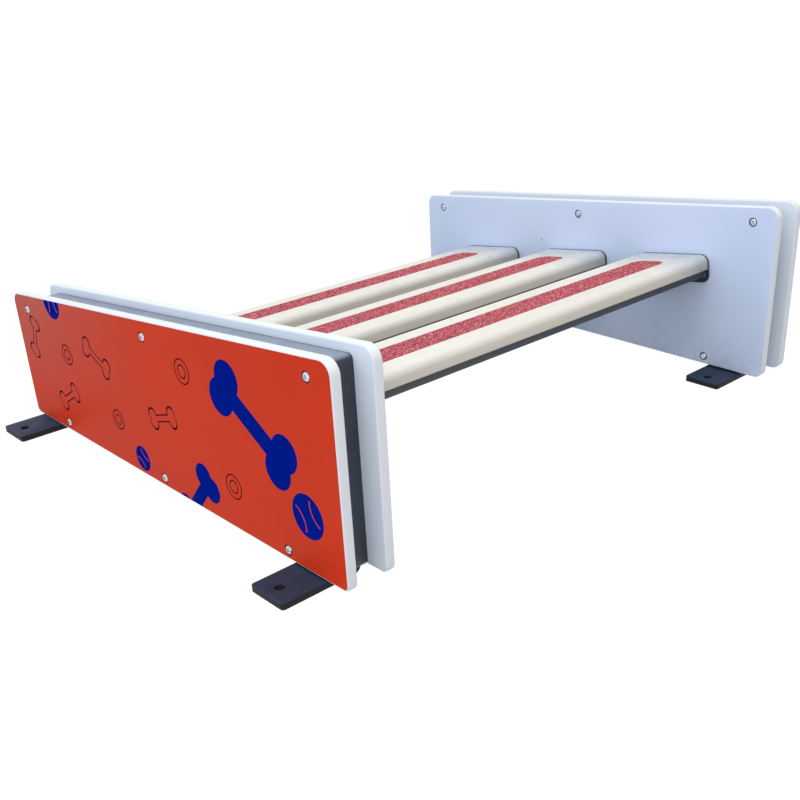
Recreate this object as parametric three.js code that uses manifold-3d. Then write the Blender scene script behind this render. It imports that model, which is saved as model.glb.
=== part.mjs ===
import * as THREE from 'three';
import { mergeVertices } from 'three/addons/utils/BufferGeometryUtils.js';
import Module from 'manifold-3d';

// Agility long jump: two tapered end walls carrying three sloping boards.
// Millimetres. X runs along the end walls towards their high end, Y along the boards, Z up.
// The origin is on the ground, below the middle of the whole jump.

const wasm = await Module();
wasm.setup();

// End walls
const wallLength = 1090;
const wallHighEnd = 388;
const wallLowEnd = 275;
const panelThickness = 19;
const panelCornerRadius = 25;
const panelEdgeRadius = 3;
const clearSpan = 1118;

// Printed film on the outer panels
const filmThickness = 0.4;
const filmInset = 4.5;

// Frame between the two panels of a wall
const frameDepth = 60;
const frameBarWidth = 36;
const frameEndInset = 46;
const frameTopInset = 16;
const frameCornerRadius = 18;
const frameInnerRadius = 6;

// Feet
const footPlateThickness = 12;
const footWidth = 86;
const footReach = 87;
const footDrop = 4;
const footLegHeight = 90;
const footCornerRadius = 12;
const footEdgeBevel = 3;
const footEdgeRadius = 2;
const footBendRadius = 4;
const footLowInset = 59;
const footHighInset = 102;
const pegHoleDiameter = 18;
const pegHoleFromTip = 27;

// Bolts and sleeve nuts through the walls
const topBoltInset = 60;
const bottomBoltInset = 155;
const topBoltDrop = 33;
const bottomBoltRise = 18;
const boltHeadDiameter = 15.6;
const boltHeadHeight = 5;
const boltHeadCrown = 2.4;
const counterboreDiameter = 19.6;
const counterboreDepth = 3;
const boltShankDiameter = 9.6;
const sleeveDiameter = 13;
const sleeveWall = 1.3;
const sleeveLength = 56;
const boltEngagement = 24;
const hexSocketAcross = 6;
const hexSocketDepth = 3;
const fitClearance = 0.3;

// Boards
const boardWidth = 184;
const boardThickness = 38;
const boardTopRadius = 19;
const boardBottomRadius = 4;
const boardEndBevel = 2;
const boardEndMargin = 162;
const deckHeight = 209;
const deckRise = 0.135;

// Grip strips
const gripWidth = 80;
const gripThickness = 3.6;
const gripGrooveDepth = 3.4;
const gripEndRadius = 25;
const gripEndGap = 88;

// Rails with welded end plates, one below each board
const railWidth = 164;
const railDepth = 20;
const railWall = 5;
const railBendRadius = 7;
const railEdgeRadius = 1;
const endPlateThickness = 5;
const endPlateWidth = 178;
const endPlateBelowBoard = 34;
const endPlateBelowTop = 9;
const endPlateRadius = 20;

// Screws that hold the end plates
const plateScrewSpacing = 108;
const plateScrewDrop = 20.5;
const plateScrewHeadDiameter = 14;
const plateScrewHeadHeight = 5;
const plateScrewShankDiameter = 8;
const plateScrewLength = 17;

// Mesh resolution and working allowances
const roundSteps = 12;
const cornerSteps = 3;
const weldTolerance = 0.0001;
const cutOverrun = 1;

// Derived sizes
const wallThickness = 2 * panelThickness + frameDepth;
const groundGap = footPlateThickness + footDrop;
const wallSlope = (wallHighEnd - wallLowEnd) / wallLength;
const deckAngle = Math.atan(deckRise);
const headProud = boltHeadHeight - counterboreDepth;
const nearFace = -(2 * wallThickness + clearSpan + headProud - footReach) / 2;
const farWallFace = nearFace + wallThickness + clearSpan;
const spanMiddle = nearFace + wallThickness + clearSpan / 2;
const boardLength = clearSpan - 2 * (endPlateThickness + fitClearance);
const gripLength = clearSpan - 2 * gripEndGap;
const railTop = -boardThickness - fitClearance;
const plateScrewBite = plateScrewLength - endPlateThickness + fitClearance;
const topBoltX = wallLength / 2 - topBoltInset;
const bottomBoltX = wallLength / 2 - bottomBoltInset;
const footPlaces = {
  low: footLowInset - wallLength / 2,
  high: wallLength / 2 - footHighInset,
};
const boardPitch = (wallLength - 2 * boardEndMargin - boardWidth) / 2;
const boardPlaces = { low: -boardPitch, middle: 0, high: boardPitch };

// Materials
function paint(name, colour, roughness, metalness) {
  const material = new THREE.MeshStandardMaterial({ color: colour, roughness, metalness });
  material.name = name;
  return material;
}

const materials = {
  sheet: paint('white_sheet', 0xd3dae6, 0.45, 0),
  film: paint('orange_film', 0xc8442d, 0.35, 0),
  frame: paint('dark_plastic', 0x363a48, 0.6, 0),
  foot: paint('dark_paint', 0x363a48, 0.5, 0.4),
  bolt: paint('bright_steel', 0xc4c8cf, 0.25, 1),
  board: paint('beige_plank', 0xebe8e1, 0.7, 0),
  grip: paint('red_granulate', 0xbe5f6c, 0.9, 0),
  rail: paint('grey_steel', 0x4b505c, 0.45, 0.6),
};

// Solids
function solidFrom(geometry) {
  const bare = geometry.clone();
  bare.deleteAttribute('normal');
  bare.deleteAttribute('uv');
  const merged = mergeVertices(bare, weldTolerance);
  return new wasm.Manifold(new wasm.Mesh({
    numProp: 3,
    vertProperties: new Float32Array(merged.attributes.position.array),
    triVerts: new Uint32Array(merged.index.array),
  }));
}

function meshFrom(name, solid, material) {
  const result = solid.getMesh();
  const geometry = new THREE.BufferGeometry();
  const positions = new Float32Array(result.vertProperties);
  geometry.setAttribute('position', new THREE.BufferAttribute(positions, 3));
  geometry.setIndex(new THREE.BufferAttribute(new Uint32Array(result.triVerts), 1));
  geometry.computeVertexNormals();
  const mesh = new THREE.Mesh(geometry, material);
  mesh.name = name;
  return mesh;
}

// A closed outline through the given corners, taken anticlockwise, each rounded by its radius
function roundedOutline(corners, target = new THREE.Shape()) {
  const count = corners.length;
  corners.forEach(([x, y, radius], index) => {
    const corner = new THREE.Vector2(x, y);
    const [beforeX, beforeY] = corners[(index + count - 1) % count];
    const [afterX, afterY] = corners[(index + 1) % count];
    const toBefore = new THREE.Vector2(beforeX, beforeY).sub(corner).normalize();
    const toAfter = new THREE.Vector2(afterX, afterY).sub(corner).normalize();
    const halfAngle = Math.acos(toBefore.dot(toAfter)) / 2;
    const middle = toBefore.clone().add(toAfter).normalize();
    const centre = corner.clone().addScaledVector(middle, radius / Math.sin(halfAngle));
    const reach = radius / Math.tan(halfAngle);
    const first = corner.clone().addScaledVector(toBefore, reach).sub(centre);
    const last = corner.clone().addScaledVector(toAfter, reach).sub(centre);
    const clockwise = first.cross(last) < 0;
    target.absarc(centre.x, centre.y, radius, first.angle(), last.angle(), clockwise);
  });
  return target;
}

// Outline drawn in X and Z, extruded along Y from the given place
function alongY(outline, start, length, bevel = 0) {
  const geometry = new THREE.ExtrudeGeometry(outline, {
    depth: length - 2 * bevel,
    curveSegments: cornerSteps,
    bevelEnabled: bevel > 0,
    bevelThickness: bevel,
    bevelSize: bevel,
    bevelOffset: -bevel,
    bevelSegments: 2,
  });
  geometry.rotateX(Math.PI / 2);
  geometry.translate(0, start + length - bevel, 0);
  return solidFrom(geometry);
}

// Outline drawn in X and Y, extruded upwards, bevelled at both faces
function alongZ(outline, base, height, bevel = 0) {
  const geometry = new THREE.ExtrudeGeometry(outline, {
    depth: height - 2 * bevel,
    curveSegments: cornerSteps,
    bevelEnabled: bevel > 0,
    bevelThickness: bevel,
    bevelSize: bevel,
    bevelOffset: -bevel,
    bevelSegments: 1,
  });
  geometry.translate(0, 0, base + bevel);
  return solidFrom(geometry);
}

// Outline drawn in Y and Z, extruded along X and centred on the given place
function alongX(outline, centre, length) {
  const geometry = new THREE.ExtrudeGeometry(outline, {
    depth: length,
    curveSegments: cornerSteps,
    bevelEnabled: false,
  });
  geometry.rotateX(Math.PI / 2);
  geometry.rotateZ(Math.PI / 2);
  geometry.translate(centre - length / 2, 0, 0);
  return solidFrom(geometry);
}

// Round bar along Y between two places, in line with the given point
function barAlongY(x, z, start, end, diameter) {
  const geometry = new THREE.CylinderGeometry(diameter / 2, diameter / 2, end - start, roundSteps);
  geometry.translate(x, (start + end) / 2, z);
  return solidFrom(geometry);
}

// Solid of revolution about Y through the given radius and place pairs
function turned(profile) {
  const points = profile.map(([radius, y]) => new THREE.Vector2(radius, y));
  return solidFrom(new THREE.LatheGeometry(points, roundSteps));
}

function block(x, y, z) {
  const geometry = new THREE.BoxGeometry(x[1] - x[0], y[1] - y[0], z[1] - z[0]);
  geometry.translate((x[0] + x[1]) / 2, (y[0] + y[1]) / 2, (z[0] + z[1]) / 2);
  return solidFrom(geometry);
}

// End walls
function wallTop(x) {
  return groundGap + wallLowEnd + (x + wallLength / 2) * wallSlope;
}

function wallOutline(endInset, bottomInset, topInset, radius, target) {
  const endX = wallLength / 2 - endInset;
  const bottom = groundGap + bottomInset;
  return roundedOutline([
    [-endX, bottom, radius],
    [endX, bottom, radius],
    [endX, wallTop(endX) - topInset, radius],
    [-endX, wallTop(-endX) - topInset, radius],
  ], target);
}

function wallBoltPlaces() {
  const top = [-topBoltX, 0, topBoltX].map((x) => [x, wallTop(x) - topBoltDrop]);
  const bottom = [-bottomBoltX, 0, bottomBoltX].map((x) => [x, groundGap + bottomBoltRise]);
  return [...top, ...bottom];
}

function drilled(solid, places, start, end, diameter) {
  return places.reduce(
    (rest, [x, z]) => rest.subtract(barAlongY(x, z, start, end, diameter)),
    solid,
  );
}

// Panel with its faces at start and start + panelThickness; side is -1 where the bolt heads are
function panelSolid(start, side) {
  const end = start + panelThickness;
  const outline = wallOutline(0, 0, 0, panelCornerRadius);
  const places = wallBoltPlaces();
  const shank = side < 0 ? boltShankDiameter : sleeveDiameter;
  const floor = side < 0 ? start + counterboreDepth : end - counterboreDepth;
  const mouth = side < 0 ? start - cutOverrun : end + cutOverrun;
  const bored = drilled(
    alongY(outline, start, panelThickness, panelEdgeRadius),
    places,
    start - cutOverrun,
    end + cutOverrun,
    shank + 2 * fitClearance,
  );
  return drilled(bored, places, Math.min(floor, mouth), Math.max(floor, mouth), counterboreDiameter);
}

function filmSolid(start) {
  const radius = panelCornerRadius - filmInset;
  const film = alongY(wallOutline(filmInset, filmInset, filmInset, radius), start, filmThickness);
  return drilled(
    film,
    wallBoltPlaces(),
    start - cutOverrun,
    start + filmThickness + cutOverrun,
    counterboreDiameter,
  );
}

function frameSolid(start) {
  const outline = wallOutline(frameEndInset, 0, frameTopInset, frameCornerRadius);
  const inner = wallOutline(
    frameEndInset + frameBarWidth,
    frameBarWidth,
    frameTopInset + frameBarWidth,
    frameInnerRadius,
    new THREE.Path(),
  );
  outline.holes.push(inner);
  const end = start + frameDepth;
  const ring = drilled(
    alongY(outline, start, frameDepth),
    wallBoltPlaces(),
    start - cutOverrun,
    end + cutOverrun,
    sleeveDiameter + 2 * fitClearance,
  );
  const halfPocket = footWidth / 2 + fitClearance;
  return Object.values(footPlaces).reduce((rest, x) => rest.subtract(block(
    [x - halfPocket, x + halfPocket],
    [start - cutOverrun, start + footPlateThickness + fitClearance],
    [groundGap - cutOverrun, groundGap + footLegHeight + fitClearance],
  )), ring);
}

// Foot plate that turns up behind the panel whose outer face is at the given place
function footSolid(x, face) {
  const tip = face - footReach;
  const legFront = face + panelThickness;
  const legBack = legFront + footPlateThickness;
  const legTop = groundGap + footLegHeight;
  const profile = roundedOutline([
    [tip, 0, footEdgeRadius],
    [legBack, 0, footBendRadius + footPlateThickness],
    [legBack, legTop, footEdgeRadius],
    [legFront, legTop, footEdgeRadius],
    [legFront, footPlateThickness, footBendRadius],
    [tip, footPlateThickness, footEdgeRadius],
  ]);
  const halfWidth = footWidth / 2;
  const plan = roundedOutline([
    [x - halfWidth, tip, footCornerRadius],
    [x + halfWidth, tip, footCornerRadius],
    [x + halfWidth, legBack, footEdgeRadius + footEdgeBevel],
    [x - halfWidth, legBack, footEdgeRadius + footEdgeBevel],
  ]);
  const plate = alongZ(plan, -footPlateThickness, 2 * footPlateThickness, footEdgeBevel);
  const trimming = block(
    [x - halfWidth - cutOverrun, x + halfWidth + cutOverrun],
    [tip - cutOverrun, face],
    [-cutOverrun, footPlateThickness + cutOverrun],
  ).subtract(plate);
  const peg = new THREE.CylinderGeometry(
    pegHoleDiameter / 2,
    pegHoleDiameter / 2,
    footPlateThickness + 2 * cutOverrun,
    roundSteps,
  );
  peg.rotateX(Math.PI / 2);
  peg.translate(x, tip + pegHoleFromTip, footPlateThickness / 2);
  return alongX(profile, x, footWidth).subtract(trimming).subtract(solidFrom(peg));
}

// Bolts, sleeve nuts and screws, drawn with the head's seat at Y = 0
const crownShares = [0, 0.7, 1];

// Points of a domed head from its crown down to its rim, on the -Y side of its seat
function headProfile(diameter, height, crown) {
  return crownShares.map((share) => [share * diameter / 2, -height + crown * share * share]);
}

function hexSocket(headHeight) {
  const cut = new THREE.CylinderGeometry(
    hexSocketAcross / Math.sqrt(3),
    hexSocketAcross / Math.sqrt(3),
    hexSocketDepth + cutOverrun,
    6,
  );
  cut.translate(0, -headHeight + (hexSocketDepth - cutOverrun) / 2, 0);
  return solidFrom(cut);
}

function boltSolid(diameter, height, crown, shankDiameter, length) {
  const bolt = turned([
    ...headProfile(diameter, height, crown),
    [diameter / 2, 0],
    [shankDiameter / 2, 0],
    [shankDiameter / 2, length],
    [0, length],
  ]);
  return bolt.subtract(hexSocket(height));
}

function sleeveNutSolid() {
  const boreRadius = sleeveDiameter / 2 - sleeveWall;
  const boreEnd = sleeveLength - boltEngagement - cutOverrun;
  const nut = turned([
    ...headProfile(boltHeadDiameter, boltHeadHeight, boltHeadCrown),
    [boltHeadDiameter / 2, 0],
    [sleeveDiameter / 2, 0],
    [sleeveDiameter / 2, sleeveLength],
    [boreRadius, sleeveLength],
    [boreRadius, boreEnd],
    [0, boreEnd],
  ]);
  return nut.subtract(hexSocket(boltHeadHeight));
}

// One end wall with its outer face at the given place; outward is -1 where that faces -Y
function wall(name, face, outward) {
  const group = new THREE.Group();
  const add = (part, solid, material) => group.add(meshFrom(`${name}_${part}`, solid, material));
  const headPanel = outward < 0 ? 'outer_panel' : 'inner_panel';
  const nutPanel = outward < 0 ? 'inner_panel' : 'outer_panel';
  const nutFace = face + wallThickness;
  const innerFace = outward < 0 ? nutFace : face;
  const sheets = {
    [headPanel]: panelSolid(face, -1),
    [nutPanel]: panelSolid(nutFace - panelThickness, 1),
  };
  sheets.inner_panel = drilled(
    sheets.inner_panel,
    plateScrewPlaces(),
    innerFace - plateScrewBite,
    innerFace + plateScrewBite,
    plateScrewShankDiameter + 2 * fitClearance,
  );
  add('outer_panel', sheets.outer_panel, materials.sheet);
  add('outer_print', filmSolid(outward < 0 ? face - filmThickness : nutFace), materials.film);
  add('frame', frameSolid(face + panelThickness), materials.frame);
  add('inner_panel', sheets.inner_panel, materials.sheet);
  Object.entries(footPlaces).forEach(([end, x]) => {
    add(`foot_${end}`, footSolid(x, face), materials.foot);
  });
  const headSeat = face + counterboreDepth;
  const nutSeat = nutFace - counterboreDepth;
  const shankLength = nutSeat - sleeveLength + boltEngagement - headSeat;
  const bolt = boltSolid(
    boltHeadDiameter,
    boltHeadHeight,
    boltHeadCrown,
    boltShankDiameter,
    shankLength,
  );
  const nut = sleeveNutSolid();
  wallBoltPlaces().forEach(([x, z], index) => {
    const boltMesh = meshFrom(`${name}_bolt_${index + 1}`, bolt, materials.bolt);
    boltMesh.position.set(x, headSeat, z);
    const nutMesh = meshFrom(`${name}_sleeve_nut_${index + 1}`, nut, materials.bolt);
    nutMesh.position.set(x, nutSeat, z);
    nutMesh.rotation.z = Math.PI;
    group.add(boltMesh, nutMesh);
  });
  return group;
}

// Boards, each drawn with its middle at the top face and turned to the slope of the deck
function deckPoint(boardX, x, z) {
  return [
    boardX + x * Math.cos(deckAngle) - z * Math.sin(deckAngle),
    groundGap + deckHeight + boardX * deckRise + x * Math.sin(deckAngle) + z * Math.cos(deckAngle),
  ];
}

function plateScrewLocalPlaces() {
  return [-1, 1].map((side) => [side * plateScrewSpacing / 2, railTop - plateScrewDrop]);
}

function plateScrewPlaces() {
  return Object.values(boardPlaces).flatMap((boardX) => (
    plateScrewLocalPlaces().map(([x, z]) => deckPoint(boardX, x, z))
  ));
}

function gripOutline(clearance) {
  const halfWidth = gripWidth / 2 + clearance;
  const halfLength = gripLength / 2 + clearance;
  const radius = gripEndRadius + clearance;
  return roundedOutline([
    [-halfWidth, -halfLength, radius],
    [halfWidth, -halfLength, radius],
    [halfWidth, halfLength, radius],
    [-halfWidth, halfLength, radius],
  ]);
}

function boardSolid() {
  const halfWidth = boardWidth / 2;
  const outline = roundedOutline([
    [-halfWidth, -boardThickness, boardBottomRadius],
    [halfWidth, -boardThickness, boardBottomRadius],
    [halfWidth, 0, boardTopRadius],
    [-halfWidth, 0, boardTopRadius],
  ]);
  const plank = alongY(outline, -boardLength / 2, boardLength, boardEndBevel);
  return plank.subtract(alongZ(gripOutline(fitClearance), -gripGrooveDepth, gripGrooveDepth + cutOverrun));
}

function gripSolid() {
  return alongZ(gripOutline(0), fitClearance - gripGrooveDepth, gripThickness);
}

function railSolid() {
  const outside = railWidth / 2;
  const inside = outside - railWall;
  const bottom = railTop - railDepth;
  const under = railTop - railWall;
  const insideRadius = railBendRadius - railWall;
  const section = roundedOutline([
    [-outside, bottom, railEdgeRadius],
    [-inside, bottom, railEdgeRadius],
    [-inside, under, insideRadius],
    [inside, under, insideRadius],
    [inside, bottom, railEdgeRadius],
    [outside, bottom, railEdgeRadius],
    [outside, railTop, railBendRadius],
    [-outside, railTop, railBendRadius],
  ]);
  const length = clearSpan - endPlateThickness;
  return endPlateStarts().reduce(
    (rest, start) => rest.add(endPlateSolid(start)),
    alongY(section, -length / 2, length),
  );
}

function endPlateStarts() {
  return [-clearSpan / 2, clearSpan / 2 - endPlateThickness];
}

function endPlateSolid(start) {
  const halfWidth = endPlateWidth / 2;
  const bottom = -boardThickness - endPlateBelowBoard;
  const outline = roundedOutline([
    [-halfWidth, bottom, endPlateRadius],
    [halfWidth, bottom, endPlateRadius],
    [halfWidth, -endPlateBelowTop, endPlateRadius],
    [-halfWidth, -endPlateBelowTop, endPlateRadius],
  ]);
  return drilled(
    alongY(outline, start, endPlateThickness),
    plateScrewLocalPlaces(),
    start - cutOverrun,
    start + endPlateThickness + cutOverrun,
    plateScrewShankDiameter + 2 * fitClearance,
  );
}

function board(name, boardX) {
  const group = new THREE.Group();
  const [x, z] = deckPoint(boardX, 0, 0);
  group.position.set(x, spanMiddle, z);
  group.rotation.y = -deckAngle;
  group.add(meshFrom(`board_${name}`, boardSolid(), materials.board));
  group.add(meshFrom(`grip_strip_${name}`, gripSolid(), materials.grip));
  group.add(meshFrom(`rail_${name}`, railSolid(), materials.rail));
  const screw = boltSolid(
    plateScrewHeadDiameter,
    plateScrewHeadHeight,
    boltHeadCrown,
    plateScrewShankDiameter,
    plateScrewLength,
  );
  const seat = clearSpan / 2 - endPlateThickness;
  [['near', -seat, Math.PI], ['far', seat, 0]].forEach(([end, seatY, turn]) => {
    plateScrewLocalPlaces().forEach(([screwX, screwZ], index) => {
      const mesh = meshFrom(`plate_screw_${name}_${end}_${index + 1}`, screw, materials.bolt);
      mesh.position.set(screwX, seatY, screwZ);
      mesh.rotation.z = turn;
      group.add(mesh);
    });
  });
  return group;
}

const jump = new THREE.Group();
jump.add(wall('near', nearFace, -1));
jump.add(wall('far', farWallFace, 1));
Object.entries(boardPlaces).forEach(([name, boardX]) => jump.add(board(name, boardX)));

export default jump;
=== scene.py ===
from functools import partial
from math import acos, atan, atan2, cos, pi, radians, sin, sqrt, tan

import bmesh
import bpy
from mathutils import Matrix, Vector
from mathutils.geometry import delaunay_2d_cdt


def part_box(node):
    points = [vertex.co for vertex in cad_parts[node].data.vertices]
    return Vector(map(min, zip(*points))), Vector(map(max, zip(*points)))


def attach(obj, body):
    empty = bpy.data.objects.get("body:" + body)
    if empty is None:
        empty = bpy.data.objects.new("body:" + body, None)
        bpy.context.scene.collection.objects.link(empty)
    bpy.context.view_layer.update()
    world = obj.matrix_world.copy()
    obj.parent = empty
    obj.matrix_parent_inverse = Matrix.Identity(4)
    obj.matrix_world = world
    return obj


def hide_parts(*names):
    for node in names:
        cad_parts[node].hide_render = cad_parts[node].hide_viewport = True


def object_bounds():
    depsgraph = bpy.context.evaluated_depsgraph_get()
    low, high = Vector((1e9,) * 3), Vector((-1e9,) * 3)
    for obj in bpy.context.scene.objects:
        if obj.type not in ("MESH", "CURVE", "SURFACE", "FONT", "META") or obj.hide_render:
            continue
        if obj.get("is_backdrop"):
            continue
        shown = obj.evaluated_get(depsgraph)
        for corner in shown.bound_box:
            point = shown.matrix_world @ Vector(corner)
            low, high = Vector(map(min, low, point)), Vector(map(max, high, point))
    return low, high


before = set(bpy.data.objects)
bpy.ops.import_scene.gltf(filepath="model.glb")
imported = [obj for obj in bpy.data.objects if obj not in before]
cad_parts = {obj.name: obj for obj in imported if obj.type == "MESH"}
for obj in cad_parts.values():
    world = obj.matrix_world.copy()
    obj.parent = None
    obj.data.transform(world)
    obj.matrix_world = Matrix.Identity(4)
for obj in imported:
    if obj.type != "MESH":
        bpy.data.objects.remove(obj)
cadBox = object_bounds()
print("frame loaded:", len(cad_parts), "nodes")

# Metres, as in the frame: X along the walls to the high end, Y along the boards, Z up
outerLow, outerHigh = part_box("near_outer_panel")
halfLength = outerHigh[0]
bottomZ = outerLow[2]
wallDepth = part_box("near_inner_panel")[1][1] - outerLow[1]
wallFaces = {"near": outerLow[1], "far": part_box("far_inner_panel")[0][1]}
railLow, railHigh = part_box("rail_middle")
spanMiddle = (railLow[1] + railHigh[1]) / 2
span = railHigh[1] - railLow[1]
outward = {"near": -1, "far": 1}  # the way along Y that each outer panel faces

wall = dict(
    highEnd=0.388,  # height of the panels at the +X end
    lowEnd=0.275,
    sheet=0.019,
    corner=0.025,  # radius of the panels' upper corners
    lowCorner=dict(near=0.013, far=0.021),
    edge=0.003,  # rounding of the sheet's edges
    filmInset=0.0031,
    film=0.0004,
)
deck = dict(
    height=0.209,  # top of the middle board above the panels' lower edge
    rise=0.135,  # slope of the plane that the boards lie in
    pitch=0.291,
)
deckAngle = atan(deck["rise"])
boardX = {"low": -deck["pitch"], "middle": 0.0, "high": deck["pitch"]}

# Outlines are drawn in X and Z; these turn a slab to have its own in Y and Z, or X and Y
sideways = Matrix(((0, 1, 0, 0), (1, 0, 0, 0), (0, 0, 1, 0), (0, 0, 0, 1)))
lying = Matrix(((1, 0, 0, 0), (0, 0, 1, 0), (0, 1, 0, 0), (0, 0, 0, 1)))


# Shapes

# Each corner is X, Z and a radius
def roundedOutline(corners, steps=12):
    points = []
    for index, (x, z, radius) in enumerate(corners):
        corner = Vector((x, z))
        before = (Vector(corners[index - 1][:2]) - corner).normalized()
        after = (Vector(corners[(index + 1) % len(corners)][:2]) - corner).normalized()
        half = acos(max(-1, min(1, before.dot(after)))) / 2
        middle = corner + (before + after).normalized() * radius / sin(half)
        first = corner + before * radius / tan(half) - middle
        last = corner + after * radius / tan(half) - middle
        start = atan2(first.y, first.x)
        sweep = atan2(first.x * last.y - first.y * last.x, first.dot(last))
        for step in range(steps + 1):
            angle = start + sweep * step / steps
            points.append(middle + Vector((cos(angle), sin(angle))) * radius)
    return points


# One radius, or four in turn: low left, low right, high right, high left
def boxOutline(low, high, radii, steps=12):
    if not isinstance(radii, tuple):
        radii = (radii,) * 4
    corners = (low, (high[0], low[1]), high, (low[0], high[1]))
    return roundedOutline([(*corner, radius) for corner, radius in zip(corners, radii)], steps)


def insetOutline(points, amount):
    moved = []
    for index, point in enumerate(points):
        toNext = points[(index + 1) % len(points)] - points[index - 1]
        side = Vector((-toNext.y, toNext.x)).normalized()
        moved.append(point + side * amount)
    return moved


def placeObject(name, data):
    made = bpy.data.objects.new(name, data)
    bpy.context.scene.collection.objects.link(made)
    return made


def newObject(name, mesh, *materials):
    for material in materials:
        mesh.materials.append(material)
    return placeObject(name, mesh)


def centre(node):
    return [(low + high) / 2 for low, high in zip(*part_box(node))]


def smoothMesh(mesh, sharpAngle=35):
    mesh.shade_smooth()
    mesh.set_sharp_from_angle(angle=radians(sharpAngle))


def meshData(name, mesh):
    data = bpy.data.meshes.new(name)
    mesh.to_mesh(data)
    mesh.free()
    return data


def finishedMesh(name, mesh, sharpAngle=35):
    bmesh.ops.remove_doubles(mesh, verts=mesh.verts, dist=1e-6)
    bmesh.ops.recalc_face_normals(mesh, faces=mesh.faces)
    data = meshData(name, mesh)
    smoothMesh(data, sharpAngle)
    return data


# Outline in X and Z drawn out along Y, both rims rounded; the edge attribute is 1 on the rims
def slabMesh(name, outline, start, end, edge=0.0, edgeSteps=4, matrix=None):
    rings = []
    for step in range(edgeSteps + 1 if edge else 1):
        turn = pi / 2 * step / edgeSteps if edge else pi / 2
        wear = sin(2 * turn) if edge else 0
        rings.append((start + edge * (1 - sin(turn)), edge * (1 - cos(turn)), wear))
    rings.sort(key=lambda ring: ring[0])
    rings += [(start + end - y, inset, wear) for y, inset, wear in reversed(rings)]
    mesh = bmesh.new()
    wearLayer = mesh.verts.layers.float.new("edge")
    loops = []
    for y, inset, wear in rings:
        loop = [mesh.verts.new((p.x, y, p.y)) for p in insetOutline(outline, inset)]
        for vert in loop:
            vert[wearLayer] = wear
        loops.append(loop)
    for one, two in zip(loops, loops[1:]):
        for index in range(len(one)):
            mesh.faces.new((one[index - 1], one[index], two[index], two[index - 1]))
    mesh.faces.new(loops[0])
    mesh.faces.new(loops[-1])
    if matrix:
        mesh.transform(matrix)
    return finishedMesh(name, mesh)


def newSlab(name, finish, *sizes, **more):
    return newObject(name, slabMesh(name, *sizes, **more), finish)


# Solid of revolution about Y; each ring is a radius, or a function of the angle, and a place
def turnedMesh(name, rings, steps=36):
    mesh = bmesh.new()
    loops = []
    for radius, y in rings:
        if radius == 0:
            loops.append([mesh.verts.new((0, y, 0))])
            continue
        loop = []
        for step in range(steps):
            angle = 2 * pi * step / steps
            reach = radius(angle) if callable(radius) else radius
            loop.append(mesh.verts.new((reach * cos(angle), y, reach * sin(angle))))
        loops.append(loop)
    for one, two in zip(loops, loops[1:]):
        for index in range(steps):
            corners = [one[index % len(one)], one[(index + 1) % len(one)]]
            corners += [two[(index + 1) % len(two)], two[index % len(two)]]
            mesh.faces.new(list(dict.fromkeys(corners)))
    return finishedMesh(name, mesh, 30)


def joinedMesh(name, parts):
    mesh = bmesh.new()
    mesh.verts.layers.float.new("edge")
    for data, matrix in parts:
        data.transform(matrix)
        mesh.from_mesh(data)
    data = meshData(name, mesh)
    smoothMesh(data)
    return data


# Applies what the modifiers make of a piece
def settle(piece, sharpAngle=35):
    bpy.context.view_layer.update()
    evaluated = piece.evaluated_get(bpy.context.evaluated_depsgraph_get())
    mesh = bpy.data.meshes.new_from_object(evaluated)
    piece.modifiers.clear()
    old, piece.data = piece.data, mesh
    bpy.data.meshes.remove(old)
    smoothMesh(mesh, sharpAngle)


def carve(piece, cutters, operation="DIFFERENCE", finishes="INDEX"):
    for cutter in cutters:
        change = piece.modifiers.new("cut", "BOOLEAN")
        change.material_mode = finishes
        change.object = cutter
        change.operation = operation
        change.solver = "EXACT"
    settle(piece)
    for cutter in cutters:
        bpy.data.objects.remove(cutter)


def soften(piece, width, segments, angle):
    change = piece.modifiers.new("softEdges", "BEVEL")
    change.width = width
    change.segments = segments
    change.limit_method = "ANGLE"
    change.angle_limit = radians(angle)
    settle(piece)


def roundBar(name, x, z, start, end, diameter, steps, finish=None):
    rings = [(0, start), (diameter / 2, start), (diameter / 2, end), (0, end)]
    data = turnedMesh(name, rings, steps)
    data.transform(Matrix.Translation((x, 0, z)))
    return newObject(name, data, finish)


def keep(piece, slot, *nodes):
    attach(piece, "root")
    if nodes:
        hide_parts(*nodes)


# Node helpers; a value is a number or another node's output

def feed(node, values):
    for socket, value in values.items():
        if isinstance(value, bpy.types.NodeSocket):
            node.id_data.links.new(value, node.inputs[socket])
        else:
            node.inputs[socket].default_value = value


# Makes a node, in the given tree or in the one its values come from, and gives its outputs
def addNode(kind, values=None, tree=None, **settings):
    values = values or {}
    sockets = [value for value in values.values() if isinstance(value, bpy.types.NodeSocket)]
    node = (tree or sockets[0].id_data).nodes.new(kind)
    for name, value in settings.items():
        setattr(node, name, value)
    feed(node, values)
    return node.outputs


def maths(operation, first, second=0.0, clamp=False):
    settings = dict(operation=operation, use_clamp=clamp)
    return addNode("ShaderNodeMath", {0: first, 1: second}, **settings)[0]


times = partial(maths, "MULTIPLY")
plus = partial(maths, "ADD")
minus = partial(maths, "SUBTRACT")
absolute = partial(maths, "ABSOLUTE")
larger = partial(maths, "MAXIMUM")
below = partial(maths, "LESS_THAN")


# One minus the value, never below zero
def rest(value):
    return minus(1.0, value, True)


def ramp(value, low, high, bottom=0.0, top=1.0):
    values = {0: value, 1: low, 2: high, 3: bottom, 4: top}
    return addNode("ShaderNodeMapRange", values)[0]


def split(vector):
    return addNode("ShaderNodeSeparateXYZ", {0: vector})


def normalParts(where):
    return split(addNode("ShaderNodeNewGeometry", tree=where.id_data)["Normal"])


def attribute(where, name):
    return addNode("ShaderNodeAttribute", tree=where.id_data, attribute_name=name)["Fac"]


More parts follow.
